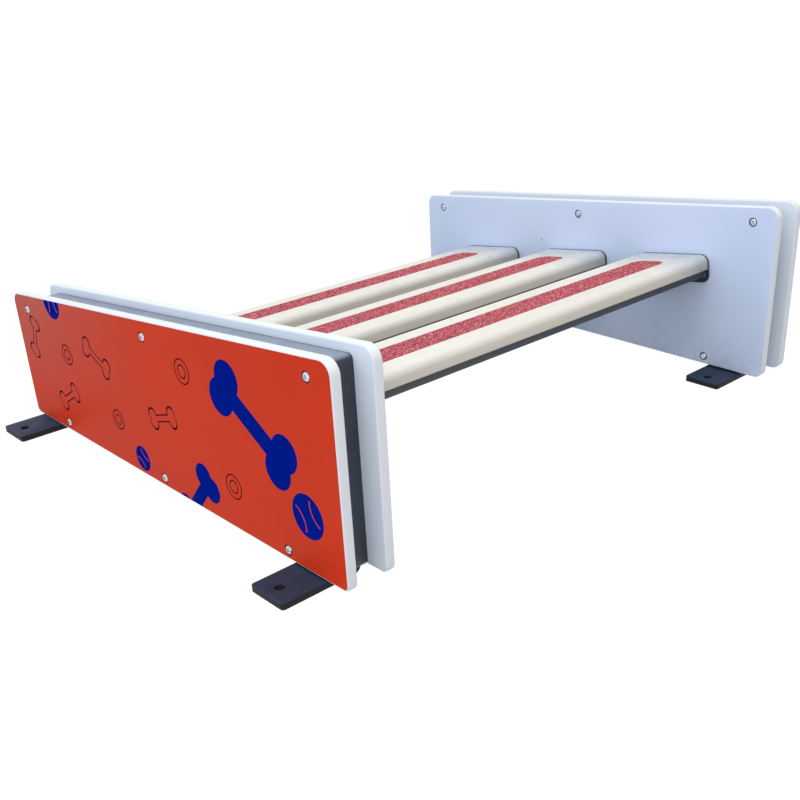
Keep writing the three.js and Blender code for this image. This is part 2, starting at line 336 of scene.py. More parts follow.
def noise(vector, scale, detail=4.0, rough=0.55, squash=None):
    if squash:
        vector = addNode("ShaderNodeMapping", {"Vector": vector, "Scale": squash})[0]
    values = {"Vector": vector, "Scale": scale, "Detail": detail, "Roughness": rough}
    return addNode("ShaderNodeTexNoise", values)[0]


def blend(share, first, second):
    values = {0: share, 6: first, 7: second}
    return addNode("ShaderNodeMix", values, data_type="RGBA")[2]


def linear(red, green, blue):
    parts = []
    for value in (red, green, blue):
        share = value / 255
        parts.append(share / 12.92 if share <= 0.04045 else ((share + 0.055) / 1.055) ** 2.4)
    return (*parts, 1.0)


# Lays a tone, given in screen values, over a colour
def tint(colour, share, tone):
    return blend(share, colour, linear(*tone))


# Adds named sockets; each title goes with the end of its type's name
def addSockets(tree, way, sockets):
    for title, ending in sockets.items():
        tree.interface.new_socket(title, in_out=way, socket_type="NodeSocket" + ending)


# A group with a Vector input and the named numbers; build makes its outputs from its inputs
def shaderGroup(name, numbers, build):
    group = bpy.data.node_groups.new(name, "ShaderNodeTree")
    addSockets(group, "INPUT", {"Vector": "Vector", **dict.fromkeys(numbers, "Float")})
    made = build(addNode("NodeGroupInput", tree=group))
    addSockets(group, "OUTPUT", dict.fromkeys(made, "Float"))
    addNode("NodeGroupOutput", made)
    return group


# A group takes from a look the numbers that its inputs are named after
def useGroup(group, where, look):
    titles = [item.name for item in group.interface.items_tree if item.name in look]
    values = {"Vector": where, **{title: look[title] for title in titles}}
    return addNode("ShaderNodeGroup", values, node_tree=group)


# Uneven tone and a fine moulded texture
def makeGrain(said):
    fine = noise(said["Vector"], said["grain"], 3.0)
    cloud = noise(said["Vector"], said["cloud"], 3.0)
    return {"Tone": plus(times(fine, 0.4), times(cloud, 0.6)), "Height": fine}


# Thin random scratches, 1 inside a scratch
def makeScratches(said):
    masks = []
    for turn, stretch in ((0.5, 0.05), (-0.8, 0.08)):
        rotation = (turn, turn * 1.7, turn)
        values = {"Vector": said["Vector"], "Rotation": rotation, "Scale": (1, stretch, 1)}
        drawn = addNode("ShaderNodeMapping", values)[0]
        values = {"Vector": drawn, "Scale": said["scratchScale"]}
        cells = addNode("ShaderNodeTexVoronoi", values, feature="DISTANCE_TO_EDGE")
        lines = ramp(cells["Distance"], 0.0, 0.012, 1.0, 0.0)
        masks.append(times(lines, ramp(noise(drawn, 9.0, 2.0), 0.55, 0.7)))
    return {"Mask": times(larger(*masks), said["scratches"])}


# Dust and splashes: more on level faces and near the ground
def makeGrime(said):
    where = said["Vector"]
    speckle = ramp(noise(where, 45.0, 6.0, 0.65), 0.42, 0.75)
    dust = times(ramp(normalParts(where)[2], 0.3, 1.0), said["topDust"])
    low = rest(maths("DIVIDE", split(where)[2], said["groundHeight"]))
    return {"Mask": times(speckle, plus(dust, times(low, said["ground"])), True)}


# Rubbed edges, from the edge attribute of the piece
def makeEdgeWear(said):
    edge = attribute(said["Vector"], "edge")
    patches = ramp(noise(said["Vector"], said["wornScale"], 5.0), 0.4, 0.62)
    return {"Mask": times(times(edge, patches), said["worn"], True)}


# Sparse dark specks, each a small spot in its own cell
def makeSpecks(said):
    values = {"Vector": said["Vector"], "Scale": said["speckScale"]}
    cells = addNode("ShaderNodeTexVoronoi", values)
    chosen = below(split(cells["Color"])[0], said["specks"])
    return {"Mask": times(below(cells["Distance"], said["speckSize"]), chosen)}


grainGroup = shaderGroup("grain", ["grain", "cloud"], makeGrain)
scratchGroup = shaderGroup("scratches", ["scratchScale", "scratches"], makeScratches)
grimeGroup = shaderGroup("grime", ["topDust", "ground", "groundHeight"], makeGrime)
edgeWearGroup = shaderGroup("edgeWear", ["worn", "wornScale"], makeEdgeWear)
speckGroup = shaderGroup("specks", ["speckScale", "speckSize", "specks"], makeSpecks)


def newMaterial(name):
    material = bpy.data.materials.new(name)
    material.use_nodes = True
    where = addNode("ShaderNodeTexCoord", tree=material.node_tree)["Object"]
    return material, material.node_tree.nodes["Principled BSDF"], where


def bump(height, strength, distance):
    values = {"Height": height, "Strength": strength, "Distance": distance}
    return addNode("ShaderNodeBump", values)[0]


# What a finish has unless it says otherwise; colours are screen values, 0 to 255
plainLook = dict(
    grain=320.0, cloud=5.0, roughSpread=0.12, shine=0.5, bumpStrength=0.25, bumpDistance=0.0002,
    scratchScale=9.0, wornScale=70.0, speckScale=24.0, speckSize=0.045,
    ground=0.0, groundHeight=0.12,
)
printed = dict(grain=500.0, cloud=4.0, bumpDistance=0.00005, roughSpread=0.08)
finishes = {
    # Sheet tones: the bluish light and dark paint sky light into the faces; the tone for the faces
    # between and outside the panels is brighter painted light; the rim tones are the edges' own
    # neutral white
    "whiteSheet": dict(
        light=(216, 229, 252), dark=(208, 222, 248), rough=0.42, grain=420.0, cloud=3.0,
        specks=0.16, speckColour=(96, 102, 114), scratches=0.2, scratchColour=(232, 236, 244),
        worn=0.3, wornColour=(238, 240, 245), topDust=0.1, ground=0.3, dirt=(140, 134, 124),
        bumpDistance=0.0001, paintedLitFaces=(236, 243, 252), rimSide=(232, 233, 236),
        rimTop=(234, 237, 234),
    ),
    "film": dict(
        printed, light=(224, 61, 26), dark=(216, 54, 21), rough=0.42, shine=0.07,
        scratches=0.25, scratchColour=(222, 104, 78), topDust=0.2, ground=0.12,
        # The last tone is painted sheen and shade for the film's upper low end
        dirt=(150, 104, 84), brushed=(168, 66, 48), sheenAndShade=(176, 112, 100),
    ),
    "blueInk": dict(
        printed, light=(2, 33, 150), dark=(1, 28, 139), rough=0.4, shine=0.0,
        scratches=0.1, scratchColour=(70, 90, 170), topDust=0.2, ground=0.1, dirt=(92, 88, 104),
    ),
    "lineInk": dict(printed, light=(52, 22, 44), dark=(40, 15, 36), rough=0.4, shine=0.0),
    # Dark painted shade for the walls of the bolt counterbores
    "boreShade": dict(
        light=(74, 76, 88), dark=(48, 50, 60), rough=0.8, grain=900.0, cloud=60.0,
        bumpDistance=0.0001, shine=0.2,
    ),
    "darkBar": dict(
        light=(52, 56, 69), dark=(40, 44, 56), rough=0.35, grain=160.0, cloud=8.0,
        scratches=0.3, scratchColour=(92, 96, 108), worn=0.4, wornColour=(104, 108, 120),
        topDust=0.25, ground=0.2, dirt=(110, 114, 124), bumpDistance=0.0003,
        # A pale tone for the level top, dust with a painted sheen, and a painted contact shadow
        # along the panels
        paleTint=(148, 158, 178), shadedJoint=(40, 46, 62),
    ),
    "footPaint": dict(
        light=(41, 57, 83), dark=(31, 46, 67), rough=0.55, grain=700.0, cloud=14.0,
        scratches=0.35, scratchColour=(96, 100, 112), worn=0.5, wornColour=(88, 92, 104),
        # The last two tones: near black painted shade for the sides, and a paler bevel tone that is
        # wear with a painted highlight
        topDust=0.1, dirt=(92, 96, 106), shine=0.3, side=(6, 7, 10), wearAndHighlight=(104, 112, 132),
    ),
    "railPaint": dict(
        light=(76, 80, 90), dark=(64, 68, 78), rough=0.42, grain=800.0, cloud=8.0,
        scratches=0.3, scratchColour=(128, 131, 138), worn=0.5, wornColour=(130, 133, 139),
        topDust=0.2, dirt=(120, 114, 106), shine=0.2,
        # Beside the paler near end: painted shade for faces along the boards, and bluish painted sky
        # light on level faces
        nearEnd=(104, 102, 98), endPlate=(30, 35, 48), level=(128, 138, 158),
    ),
    "weldBead": dict(light=(88, 93, 104), dark=(68, 73, 84), rough=0.42, grain=900.0, cloud=20.0),
    "plank": dict(
        light=(243, 237, 225), dark=(235, 228, 215), rough=0.55, grain=260.0, cloud=4.0,
        specks=0.05, speckColour=(170, 164, 152), scratches=0.2, scratchColour=(205, 203, 198),
        # Of the tones from here on, all but the drawn lines and the nicks are painted shade: on the
        # sides, at the ends beside the walls together with real stains, and along the rail
        topDust=0.1, dirt=(150, 140, 126), line=(214, 209, 198), side=(198, 188, 170),
        stainAndShade=(160, 171, 191), shaded=(124, 122, 120), shadedJoint=(62, 62, 66), nick=(92, 96, 108),
    ),
}


# Group, its colour in the look, and what it adds to the roughness
effects = (
    (scratchGroup, "scratchColour", 0.2), (edgeWearGroup, "wornColour", 0.0),
    (speckGroup, "speckColour", 0.0), (grimeGroup, "dirt", 0.3),
)


# Two tones, then each effect whose colour the look names, then the finish's own layers
def makeFinish(name, layers=None):
    look = {**plainLook, **finishes[name]}
    material, shader, where = newMaterial(name)
    tone, height = useGroup(grainGroup, where, look)
    dark, light = linear(*look["dark"]), linear(*look["light"])
    colour = blend(ramp(tone, 0.35, 0.65), dark, light)
    rough = plus(look["rough"], times(tone, look["roughSpread"]))
    for group, shade, rougher in effects:
        if shade in look:
            mask = useGroup(group, where, look)[0]
            colour = tint(colour, mask, look[shade])
            rough = plus(rough, times(mask, rougher)) if rougher else rough
    for share, shade in layers(where) if layers else ():
        colour = blend(share, colour, linear(*look[shade]) if shade in look else shade)
    texture = bump(height, look["bumpStrength"], look["bumpDistance"])
    feed(shader, {"Base Color": colour, "Roughness": rough, "Normal": texture})
    shader.inputs["Specular IOR Level"].default_value = look["shine"]
    return material


# A layer is its share from 0 to 1 and its colour, by name in the finish or as a node's output

# Painted light: the faces towards the deck keep the bluish tone that paints sky light into them; the
# faces between the panels and the outward faces get a brighter painted light, and the edges the
# sheet's own more neutral white
def sheetLayers(where):
    along = split(where)[1]
    outside = below(along, wallFaces["near"] + wall["edge"])
    beyond = maths("GREATER_THAN", along, wallFaces["far"] + wallDepth - wall["edge"])
    paintedLitFaces = larger(outside, beyond)
    for face in wallFaces.values():
        away = absolute(minus(along, face + wallDepth / 2))
        between = below(away, wallDepth / 2 - wall["sheet"] + 0.001)
        paintedLitFaces = larger(paintedLitFaces, between)
    yield paintedLitFaces, "paintedLitFaces"
    parts = normalParts(where)
    up = ramp(parts[2], 0.1, 0.8)
    side, top = (linear(*finishes["whiteSheet"][key]) for key in ("rimSide", "rimTop"))
    yield ramp(rest(absolute(parts[1])), 0.02, 0.4), blend(up, side, top)


# The film is brushed along the wall; its upper low end is painted paler and hazy, a painted sheen
# and shade
def filmLayers(where):
    place = split(where)
    brushed = noise(where, 160.0, 4.0, 0.7, (0.03, 1, 1))
    yield ramp(brushed, 0.5, 0.85, 0.0, 0.3), "brushed"
    sheenAndShade = times(ramp(place[0], 0.0, -0.52), ramp(place[2], 0.08, 0.3))
    patchy = ramp(noise(where, 5.0), 0.3, 0.65, 0.25, 0.62)
    yield times(sheenAndShade, patchy), "sheenAndShade"


# The bar's level top is much paler than its sides, partly dust and partly a painted sheen of sky
# light; a painted contact shadow darkens it along both panels
def barLayers(where):
    level = ramp(normalParts(where)[2], 0.55, 0.97, 0.0, 0.85)
    uneven = ramp(noise(where, 14.0), 0.3, 0.7, 0.75, 1.0)
    yield times(level, uneven), "paleTint"
    along = split(where)[1]
    nearest = 1.0
    for face in wallFaces.values():
        for shadedJoint in (face + wall["sheet"], face + wallDepth - wall["sheet"]):
            away = absolute(minus(along, shadedJoint))
            nearest = maths("MINIMUM", nearest, away)
    yield ramp(nearest, 0.001, 0.006, 0.95, 0.0), "shadedJoint"


# Feet: painted shade makes the sides near black; the bevels are paler, partly rubbed wear and partly
# a painted highlight
def footLayers(where):
    up = normalParts(where)[2]
    yield ramp(up, 0.2, 0.75, 0.95, 0.0), "side"
    bevel = times(ramp(up, 0.45, 0.6), ramp(up, 0.985, 0.9))
    wearAndHighlight = ramp(noise(where, 60.0), 0.35, 0.6, 0.15, 0.8)
    yield times(bevel, wearAndHighlight), "wearAndHighlight"


# Rails: paler towards the near wall; painted shade darkens the end plates, which face along the
# boards, and painted sky light makes the level faces paler and bluer
def railLayers(where):
    paleTint = ramp(split(where)[1], 0.45, -0.45, 0.0, 0.55)
    yield paleTint, "nearEnd"
    parts = normalParts(where)
    facing = ramp(absolute(parts[1]), 0.5, 0.9, 0.0, 0.95)
    yield facing, "endPlate"
    yield ramp(parts[2], 0.3, 0.9, 0.0, 0.7), "level"


plank = dict(
    width=0.184, thick=0.034, topRadius=0.019,
    lowRadius=0.008,  # of the top edge towards the low end, which is crisper
    bottomRadius=0.0018, endGap=0.0053, endEdge=0.0018,
)


# Plank: drawn lines from the extruder; painted shade on the sides, deeper near the ends; stains with
# painted shade near the ends; a painted shade line along the rail; dark nicks
def plankLayers(where):
    lines = noise(where, 60.0, 3.0, 0.6, (1, 0.02, 1))
    yield ramp(lines, 0.45, 0.75, 0.0, 0.25), "line"
    aside = ramp(normalParts(where)[2], 0.0, 0.85, 1.0, 0.0)
    yield times(aside, 0.8), "side"
    place = split(where)
    fromMiddle = absolute(minus(place[1], spanMiddle))
    nearEnd = ramp(fromMiddle, span / 2 - 0.17, span / 2 - 0.005)
    stainAndShade = ramp(noise(where, 26.0, 6.0, 0.7), 0.4, 0.75, 0.55, 1.0)
    stainAndShade = times(stainAndShade, rest(times(aside, 0.7)))
    yield times(nearEnd, stainAndShade), "stainAndShade"
    shaded = times(times(nearEnd, nearEnd), aside)
    yield times(shaded, 0.6), "shaded"
    surface = plus(times(place[0], deck["rise"]), bottomZ + deck["height"])
    depth = times(minus(surface, place[2]), cos(deckAngle))
    shadedJoint = ramp(depth, plank["thick"] - 0.0024, plank["thick"] - 0.0012, 0.0, 0.85)
    yield shadedJoint, "shadedJoint"
    nicks = ramp(noise(where, 150.0, 2.0, 0.5, (1, 0.5, 1)), 0.68, 0.71)
    nicks = times(nicks, plus(times(nearEnd, 0.8), 0.06))
    yield nicks, "nick"


# Bonded rubber: each granule has its own tone, from 0 to 1
granulate = dict(
    stops=[
        (0.0, (92, 32, 44)), (0.2, (124, 44, 54)), (0.24, (221, 96, 104)),
        (0.6, (239, 123, 129)), (0.93, (246, 148, 152)), (0.97, (250, 200, 198)),
    ],
    base=0.215,  # tone of the base between the granules
    mottle=(150, 60, 72), rough=0.85,
)


def makeGranulateFinish():
    material, shader, where = newMaterial("redGranulate")
    tone = attribute(where, "tone")
    colour = addNode("ShaderNodeValToRGB", {0: tone})[0]
    elements = colour.node.color_ramp.elements
    while len(elements) < len(granulate["stops"]):
        elements.new(0.5)
    for element, (place, screenColour) in zip(elements, granulate["stops"]):
        element.position = place
        element.color = linear(*screenColour)
    mottled = noise(where, 900.0, 2.0)
    share = ramp(mottled, 0.35, 0.75, 0.0, 0.3)
    colour = tint(colour, share, granulate["mottle"])
    texture = bump(mottled, 0.4, 0.0003)
    feed(shader, {"Base Color": colour, "Roughness": granulate["rough"], "Normal": texture})
    return material


steel = dict(
    dark=(182, 188, 199), light=(212, 217, 225), dirt=(120, 112, 104),
    topDust=0.3, ground=0.2, groundHeight=0.1,
)


# Stainless steel, slightly uneven, with dust on top
def makeSteelFinish():
    material, shader, where = newMaterial("brightSteel")
    marks = noise(where, 1400.0, 3.0)
    dark, light = linear(*steel["dark"]), linear(*steel["light"])
    colour = blend(ramp(marks, 0.3, 0.7), dark, light)
    grime = useGroup(grimeGroup, where, steel)[0]
    colour = tint(colour, grime, steel["dirt"])
    rough = plus(ramp(marks, 0.3, 0.7, 0.2, 0.32), times(grime, 0.4))
    texture = bump(marks, 0.1, 0.00005)
    feed(shader, {"Base Color": colour, "Roughness": rough, "Normal": texture})
    shader.inputs["Metallic"].default_value = 1.0
    return material


sheetFinish = makeFinish("whiteSheet", sheetLayers)
filmFinish = makeFinish("film", filmLayers)
inkFinish = makeFinish("blueInk")
lineInkFinish = makeFinish("lineInk")
boreShadeFinish = makeFinish("boreShade")
barFinish = makeFinish("darkBar", barLayers)
footFinish = makeFinish("footPaint", footLayers)
railFinish = makeFinish("railPaint", railLayers)
weldFinish = makeFinish("weldBead")
plankFinish = makeFinish("plank", plankLayers)
granulateFinish = makeGranulateFinish()
steelFinish = makeSteelFinish()
print("finishes made")


# End walls

def wallTop(x):
    rise = wall["highEnd"] - wall["lowEnd"]
    return bottomZ + wall["lowEnd"] + (x + halfLength) * rise / (2 * halfLength)


def wallOutline(endInset, bottomInset, topInset, radius, low, steps=12):
    x = halfLength - endInset
    z = bottomZ + bottomInset
    return roundedOutline([
        (-x, z, low), (x, z, low),
        (x, wallTop(x) - topInset, radius), (-x, wallTop(-x) - topInset, radius),
    ], steps)


def boltPlaces(name):
    return [centre(f"{name}_bolt_{number}")[::2] for number in range(1, 7)]


bore = dict(diameter=0.0196, depth=0.003, steps=40)


def makePanel(node, headSide):
    low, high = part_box(node)
    name = node.split("_")[0]
    outline = wallOutline(0, 0, 0, wall["corner"], wall["lowCorner"][name])
    piece = newSlab(node + "_sheet", sheetFinish, outline, low[1], high[1], wall["edge"], 5)
    face = low[1] if headSide < 0 else high[1]
    start, end = face - bore["depth"], face + bore["depth"]
    # The counterbores' walls take the cutters' dark finish, a painted shade
    cutters = [
        roundBar("bore", x, z, start, end, bore["diameter"], bore["steps"], boreShadeFinish)
        for x, z in boltPlaces(name)
    ]
    carve(piece, cutters, finishes="TRANSFER")
    keep(piece, "white_sheet", node)


# The bar frame between the panels: a ring with pockets for the feet
bar = dict(
    width=0.036, endInset=0.046, topInset=0.016, corner=0.010, innerCorner=0.006, edge=0.0015,
    pocketGap=0.0003,
)

# Foot: a plate that runs on below the wall and bends up into the frame
foot = dict(
    plate=0.012, bend=0.004, corner=0.0065, bevel=0.0022, hole=0.018, holeFromTip=0.027,
    tipEdge=0.0005, topEdge=0.002,
    under=0.042,  # how far the plate runs on below the frame before it turns up into it
)
overshoot = 0.01  # how far a cutter stands out of what it cuts


def makeFrame(name):
    node = name + "_frame"
    low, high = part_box(node)
    width, corner, innerCorner = bar["width"], bar["corner"], bar["innerCorner"]
    end, top = bar["endInset"], bar["topInset"]
    outer = wallOutline(end, 0, top, corner, corner)
    inner = wallOutline(end + width, width, top + width, innerCorner, innerCorner, 5)
    ring = newSlab(node + "_ring", barFinish, outer, low[1], high[1], bar["edge"], 3)
    cutters = [newSlab("hollow", None, inner, low[1] - overshoot, high[1] + overshoot)]
    gap = bar["pocketGap"]
    for end in ("low", "high"):
        footLow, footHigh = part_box(f"{name}_foot_{end}")
        bottom = (footLow[0] - gap, bottomZ - overshoot)
        pocket = boxOutline(bottom, (footHigh[0] + gap, footHigh[2] + gap), gap, 2)
        back = footHigh[1] + foot["under"] + gap
        start = back - foot["plate"] - 2 * gap
        cutters.append(newSlab("pocket", None, pocket, start, back))
    carve(ring, cutters)
    keep(ring, "dark_plastic", node)


def makeFoot(node):
    low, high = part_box(node)
    thick = foot["plate"]
    back = high[1] + foot["under"]
    profile = roundedOutline([
        (low[1], 0, foot["tipEdge"]), (back, 0, foot["bend"] + thick),
        (back, high[2], foot["topEdge"]), (back - thick, high[2], foot["topEdge"]),
        (back - thick, thick, foot["bend"]), (low[1], thick, foot["tipEdge"]),
    ], 8)
    piece = newSlab(node + "_plate", footFinish, profile, low[0], high[0], matrix=sideways)
    radii = (foot["corner"], foot["corner"], 0.001, 0.001)
    plan = boxOutline((low[0], low[1]), (high[0], back + 0.002), radii, 10)
    trim = newSlab("plan", None, plan, -overshoot, high[2] + overshoot, matrix=lying)
    carve(piece, [trim], "INTERSECT")
    hole = roundBar("pegHole", 0, 0, -overshoot, 0.03, foot["hole"], 48)
    hole.data.transform(Matrix.Rotation(pi / 2, 4, "X"))
    holeY = low[1] + foot["holeFromTip"]
    hole.data.transform(Matrix.Translation((centre(node)[0], holeY, 0)))
    carve(piece, [hole])
    soften(piece, foot["bevel"], 3, 40)
    keep(piece, "dark_paint", node)


# Domed bolts, and sleeve nuts with the same head and hexagon socket; each one is turned a little
# more than the last
bolt = dict(
    head=0.0163, height=0.005, shank=0.0096, tip=0.001, crown=0.0026, rim=0.0006,
    socket=0.006, socketDepth=0.003, leadIn=0.0003, leadInDepth=0.00025, flat=0.0012, turn=0.7,
)
sleeve = {**bolt, "shank": 0.013, "thread": 0.0104, "threadDepth": 0.025, "turn": 0.4}
plateScrew = {**bolt, "head": 0.0139, "shank": 0.008, "turn": 0.5}
domeSteps = 6


def hexReach(angle):
    part = pi / 3
    return bolt["socket"] / 2 / cos((angle % part) - part / 2)


# From the socket's floor out over the dome and down to the seat at Y = 0; the head points to -Y
def headRings(size):
    radius = size["head"] / 2
    top = -size["height"]
    floor = top + bolt["socketDepth"]
    rings = [(0, floor), (hexReach, floor), (hexReach, top + bolt["leadInDepth"])]
    rings.append((lambda angle: hexReach(angle) + bolt["leadIn"], top))
    first = bolt["socket"] / 2 + bolt["flat"]
    for step in range(domeSteps + 1):
        reach = first + (radius - bolt["rim"] - first) * step / domeSteps
        share = (reach - first) / (radius - first)
        rings.append((reach, top + bolt["crown"] * share * share))
    return rings + [(radius, top + bolt["crown"] + bolt["rim"]), (radius, 0)]


# The shank is as long as the solid's; a bolt's has a bevelled tip, a sleeve nut's is bored
def fastenerMesh(node, size):
    low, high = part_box(node)
    end = high[1] - low[1] - size["height"]
    radius = size["shank"] / 2
    if "thread" in size:
        inner, floor = size["thread"] / 2, end - size["threadDepth"]
        rings = [(radius, end), (inner, end), (inner, floor), (0, floor)]
    else:
        rings = [(radius, end - size["tip"]), (radius - size["tip"], end), (0, end)]
    return turnedMesh(node, headRings(size) + [(radius, 0)] + rings)


# One object of many fasteners; each is its kind and number, its sizes, its seat, how much higher
# than the solid it sits, and the way its head points along Y
def makeFasteners(name, items):
    parts = []
    nodes = []
    for kind, number, size, seat, rise, way in items:
        nodes.append(f"{kind}_{number}")
        x, _, z = centre(nodes[-1])
        turn = Matrix.Rotation(pi if way > 0 else 0, 4, "Z")
        turn @= Matrix.Rotation(size["turn"] * number, 4, "Y")
        place = Matrix.Translation((x, seat, z + rise)) @ turn
        parts.append((fastenerMesh(nodes[-1], size), place))
    keep(newObject(name, joinedMesh(name, parts), steelFinish), "bright_steel", *nodes)


def wallBolts():
    for name, face in wallFaces.items():
        back = face + wallDepth - bore["depth"]
        for number in range(1, 7):
            yield name + "_bolt", number, bolt, face + bore["depth"], 0, -1
            yield name + "_sleeve_nut", number, sleeve, back, 0, 1


for name, side in outward.items():
    makePanel(name + "_outer_panel", side)
    makePanel(name + "_inner_panel", -side)
    makeFrame(name)
    for end in ("low", "high"):
        makeFoot(f"{name}_foot_{end}")
makeFasteners("wallBolts", wallBolts())
print("end walls made")


# Printed film: plain bones, balls and rings cut into the film's face as ink areas

def circleLoop(x, z, radius, steps=56):
    angles = [2 * pi * step / steps for step in range(steps)]
    return [Vector((x + radius * cos(a), z + radius * sin(a))) for a in angles]


def turnedLoop(points, turn, x, z):
    for point in points:
        point.rotate(Matrix.Rotation(turn, 2))
    return [point + Vector((x, z)) for point in points]


# Outline of a bone: half its length, the radius of its knobs and half the width of its shaft
def boneLoop(x, z, half, knob, shaft, turn):
    sink = knob * figures["knobs"]
    reach = sqrt(knob * knob - sink * sink)
    neck = sqrt(knob * knob - (sink - shaft) ** 2)
    points = []
    for side in (1, -1):
        for upper in (-1, 1):
            mid = Vector((side * half, side * upper * sink))
            inner = atan2(-side * upper * (sink - shaft), -side * neck)
            outer = atan2(-side * upper * sink, side * reach)
            first, last = (inner, outer) if upper < 0 else (outer, inner)
            sweep = (last - first) % (2 * pi)
            for step in range(19):
                angle = first + sweep * step / 18
                points.append(mid + Vector((cos(angle), sin(angle))) * knob)
    return turnedLoop(points, turn, x, z)


# A ball seen from the side, with its two curved seams
def ballLoops(x, z, radius, turn):
    loops = [circleLoop(x, z, radius)]
    angles = [radians(-36 + 72 * step / 16) for step in range(17)]
    middle = radius * figures["bowMiddle"]
    for side in (-1, 1):
        arc = []
        for bow, order in ((figures["bow"], 1), (figures["bow"] + figures["seam"], -1)):
            bow *= radius
            points = [(side * (middle - bow * cos(a)), bow * sin(a)) for a in angles]
            arc += [Vector(point) for point in points[::order]]
        loops.append(turnedLoop(arc, turn, x, z))
    return loops


# Places are X and the height above the panel's lower edge; turns are in radians
figures = dict(
    line=0.0026,  # width of the drawn lines
    knobs=0.62,  # half the distance between a bone's two knobs, as a share of their radius
    bow=0.98,  # radius of a ball's seams, and below it the place of their centres, as shares
    bowMiddle=1.36,
    seam=0.07,  # width of a ball's seams, as a share of its radius
    shaft=0.55,  # half the width of a bone's shaft, as a share of its knob
    solidBones=[
        (0.325, 0.225, 0.084, 0.034, -0.55),
        (0.12, 0.018, 0.058, 0.025, 0.85),
    ],
    solidBalls=[
        (0.455, 0.105, 0.040, 0.5), (-0.36, 0.288, 0.034, 0.2), (-0.075, 0.035, 0.026, 0.9),
    ],
    linedBones=[
        (-0.475, 0.19, 0.034, 0.0135, 1.2), (-0.20, 0.21, 0.038, 0.0145, -0.4),
        (-0.36, 0.085, 0.036, 0.014, 0.5), (0.03, 0.15, 0.036, 0.014, 0.3),
    ],
    rings=[
        (-0.33, 0.185, 0.022), (-0.15, 0.095, 0.021), (0.125, 0.265, 0.024),
        (0.245, 0.085, 0.024),
    ],
    innerRing=0.55,
)


# Outlines of the solid figures, and of the ones drawn in lines
def figureLoops():
    line = figures["line"]
    solid = []
    drawn = []
    for kind, loops, thins in (("solidBones", solid, (0,)), ("linedBones", drawn, (0, line))):
        for x, z, half, knob, turn in figures[kind]:
            for thin in thins:
                shaft = knob * figures["shaft"] - thin
                loops.append(boneLoop(x, bottomZ + z, half, knob - thin, shaft, turn))
    for x, z, radius, turn in figures["solidBalls"]:
        solid += ballLoops(x, bottomZ + z, radius, turn)
    for x, z, radius in figures["rings"]:
        for outer in (radius, radius * figures["innerRing"]):
            drawn += [circleLoop(x, bottomZ + z, outer - thin) for thin in (0, line)]
    return solid, drawn


def inside(point, loop):
    odd = False
    for one, two in zip(loop, loop[1:] + loop[:1]):
        if (one.y > point.y) != (two.y > point.y):
            if point.x < one.x + (point.y - one.y) * (two.x - one.x) / (two.y - one.y):
                odd = not odd
    return odd


def makeFilm(name):
    node = name + "_outer_print"
    low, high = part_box(node)
    inset = wall["filmInset"]
    radii = (wall["corner"] - inset, wall["lowCorner"][name] - inset)
    border = wallOutline(inset, inset, inset, *radii)
    radius = bore["diameter"] / 2
    holes = [circleLoop(x, z, radius, bore["steps"]) for x, z in boltPlaces(name)]
    ink, lineInk = figureLoops()
    points = []
    edges = []
    for loop in [border] + holes + ink + lineInk:
        first = len(points)
        points += loop
        edges += [(first + i, first + (i + 1) % len(loop)) for i in range(len(loop))]
    flat, _, triangles, _, _, _ = delaunay_2d_cdt(points, edges, [], 0, 1e-7)
    mesh = bmesh.new()
    face = low[1] if outward[name] < 0 else high[1]
    corners = [mesh.verts.new((p.x, face, p.y)) for p in flat]
    for triangle in triangles:
        middle = sum((flat[i] for i in triangle), Vector((0, 0))) / len(triangle)
        if not inside(middle, border) or any(inside(middle, hole) for hole in holes):
            continue
        made = mesh.faces.new([corners[i] for i in triangle])
        if sum(inside(middle, loop) for loop in ink) % 2:
            made.material_index = 1
        elif sum(inside(middle, loop) for loop in lineInk) % 2:
            made.material_index = 2
    for vert in [v for v in mesh.verts if not v.link_faces]:
        mesh.verts.remove(vert)
    grown = bmesh.ops.extrude_face_region(mesh, geom=mesh.faces[:], use_keep_orig=True)
    moved = [item for item in grown["geom"] if isinstance(item, bmesh.types.BMVert)]
    bmesh.ops.translate(mesh, verts=moved, vec=(0, -outward[name] * wall["film"], 0))
    data = finishedMesh(node, mesh)
    piece = newObject(node + "_film", data, filmFinish, inkFinish, lineInkFinish)
    keep(piece, "orange_film", node)


for name in outward:
    makeFilm(name)
print("films made")


# Boards, drawn flat with their top at Z = 0 and then moved into the deck's plane

def deckMatrix(name):
    x = boardX[name]
    z = bottomZ + deck["height"] + x * deck["rise"]
    return Matrix.Translation((x, spanMiddle, z)) @ Matrix.Rotation(-deckAngle, 4, "Y")


strip = dict(
    width=0.080, endGap=0.088, endRadius=0.0258, grooveDepth=0.0034, baseTop=-0.0006,
    grooveGap=0.0003, inset=0.0002,
)


def stripOutline(extra):
    x = strip["width"] / 2 + extra
    y = span / 2 - strip["endGap"] + extra
    return boxOutline((-x, -y), (x, y), strip["endRadius"] + extra, 20)


def makeBoard(name):
    x = plank["width"] / 2
    radii = (plank["bottomRadius"], plank["bottomRadius"], plank["topRadius"], plank["lowRadius"])
    outline = boxOutline((-x, -plank["thick"]), (x, 0), radii, 14)
    y = span / 2 - plank["endGap"]
    piece = newSlab(f"plank_{name}", plankFinish, outline, -y, y, plank["endEdge"])
    widened = stripOutline(strip["grooveGap"])
    depth = strip["grooveDepth"]
    carve(piece, [newSlab("groove", None, widened, -depth, overshoot, matrix=lying)])
    piece.data.transform(deckMatrix(name))
    keep(piece, "beige_plank", f"board_{name}")


